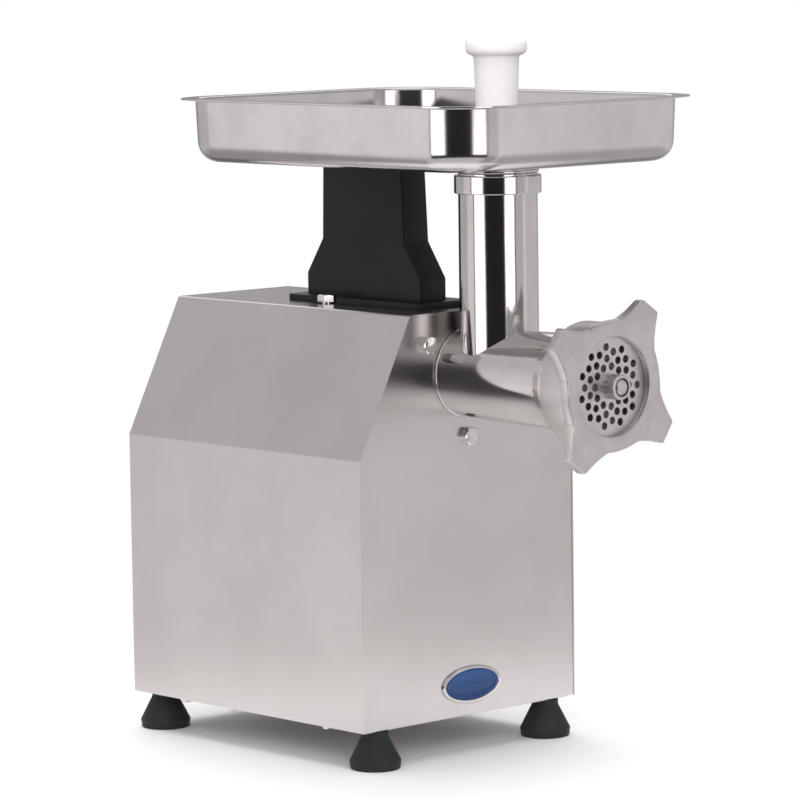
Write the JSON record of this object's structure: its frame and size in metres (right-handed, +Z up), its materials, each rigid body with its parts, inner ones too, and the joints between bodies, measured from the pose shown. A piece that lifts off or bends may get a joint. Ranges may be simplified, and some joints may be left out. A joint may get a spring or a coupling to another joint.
{
  "type": "electric meat grinder",
  "caption": "Countertop meat grinder in brushed steel with a feed pan, stomper, cast head, cutting plate and lugged ring nut.",
  "frame": {"origin": "on the floor under the middle of the whole machine's box", "axes": "+Z up, the grinding head points along -Y, the controls face +Y, +X to the right seen from the front"},
  "size_m": [0.2682, 0.4498, 0.5498],
  "materials": {
    "brushed_stainless": "brushed",
    "polished_stainless": "polished",
    "machined_steel": "satin",
    "black_rubber": "matte",
    "bolt_steel": "satin",
    "silver_rim": "polished",
    "blue_badge": "gloss",
    "white_plastic": "satin",
    "black_plastic": "satin",
    "switch_plastic": "gloss",
    "red_button": "gloss",
    "cast_aluminium": "cast",
    "gear_steel": "machined",
    "lamination_steel": "matte",
    "copper_winding": "varnished"
  },
  "bodies": {
    "machine": {"badge_rim": "silver_rim", "base_tray": "brushed_stainless", "breaker_body": "black_plastic", "cable_gland": "black_plastic", "capacitor_clip": "bolt_steel", "cover_screws": "bolt_steel", "fan_cowl": "black_plastic", "foot_front_left": "black_rubber", "foot_front_right": "black_rubber", "foot_rear_left": "black_rubber", "foot_rear_right": "black_rubber", "foot_screws": "bolt_steel", "front_panel": "brushed_stainless", "gearbox_cover": "cast_aluminium", "gearbox_housing": "cast_aluminium", "gearbox_screws": "bolt_steel", "gland_nut": "black_plastic", "head_bolts": "bolt_steel", "head_casting": "polished_stainless", "head_socket": "cast_aluminium", "intermediate_bearings": "gear_steel", "motor_bearings": "gear_steel", "motor_end_bell": "cast_aluminium", "motor_housing": "cast_aluminium", "motor_saddles": "lamination_steel", "motor_tie_screws": "bolt_steel", "output_bearings": "gear_steel", "oval_badge": "blue_badge", "pan_support": "black_plastic", "plate_key": "machined_steel", "rear_panel": "brushed_stainless", "run_capacitor": "cast_aluminium", "shaft_oil_seal": "black_rubber", "side_cover": "brushed_stainless", "stator_core": "lamination_steel", "stator_windings": "copper_winding", "support_bolts": "bolt_steel", "switch_bezel": "black_plastic", "switch_body": "black_plastic", "terminal_block": "black_plastic"},
    "grinder_output": {"output_wheel": "gear_steel", "output_shaft": "gear_steel", "auger": "machined_steel", "thrust_washer": "machined_steel", "auger_stud": "machined_steel", "knife": "machined_steel"},
    "intermediate_gear": {"intermediate_wheel": "gear_steel", "intermediate_shaft": "gear_steel"},
    "motor_rotor": {"rotor_core": "lamination_steel", "rotor_shaft": "gear_steel", "motor_pinion": "gear_steel", "cooling_fan": "black_plastic"},
    "plate": {"cutting_plate": "machined_steel"},
    "nut": {"ring_nut": "machined_steel"},
    "pan": {"feed_pan": "polished_stainless", "pan_spigot": "polished_stainless"},
    "pusher": {"stomper": "white_plastic"},
    "rocker": {"switch_rocker": "switch_plastic"},
    "button": {"reset_button": "red_button"}
  },
  "joints": [
    {"name": "rotor_spin", "type": "hinge", "parent": "machine", "child": "motor_rotor", "pos_m": [0, 0, 0.23142], "axis": [0, 1, 0], "continuous": true},
    {"name": "intermediate_spin", "type": "hinge", "parent": "machine", "child": "intermediate_gear", "pos_m": [0.035, 0, 0.2597], "axis": [0, 1, 0], "continuous": true},
    {"name": "auger_spin", "type": "hinge", "parent": "machine", "child": "grinder_output", "pos_m": [0, 0, 0.2947], "axis": [0, 1, 0], "continuous": true},
    {"name": "plate_draw", "type": "slide", "parent": "machine", "child": "plate", "axis": [0, -1, 0], "range_m": [0, 0.028]},
    {"name": "ring_nut_turn", "type": "hinge", "parent": "plate", "child": "nut", "pos_m": [0, -0.2, 0.2947], "axis": [0, -1, 0], "range_deg": [0, 2520]},
    {"name": "pan_lift", "type": "slide", "parent": "machine", "child": "pan", "axis": [0, 0, 1], "range_m": [0, 0.06]},
    {"name": "stomper_lift", "type": "slide", "parent": "machine", "child": "pusher", "axis": [0, 0, 1], "range_m": [0, 0.24]},
    {"name": "switch_tilt", "type": "hinge", "parent": "machine", "child": "rocker", "pos_m": [-0.048, 0.2095, 0.262], "axis": [1, 0, 0], "range_deg": [-12, 12]},
    {"name": "reset_press", "type": "slide", "parent": "machine", "child": "button", "axis": [0, -1, 0], "range_m": [0, 0.0025], "stiffness_N_per_m": 400, "springref_m": -0.002}
  ],
  "couplings": [
    {"joint": "intermediate_spin", "follows": "rotor_spin", "ratio": -0.2},
    {"joint": "auger_spin", "follows": "rotor_spin", "ratio": 0.053846},
    {"joint": "plate_draw", "follows": "ring_nut_turn", "m_per_rad": 0.00063662}
  ]
}
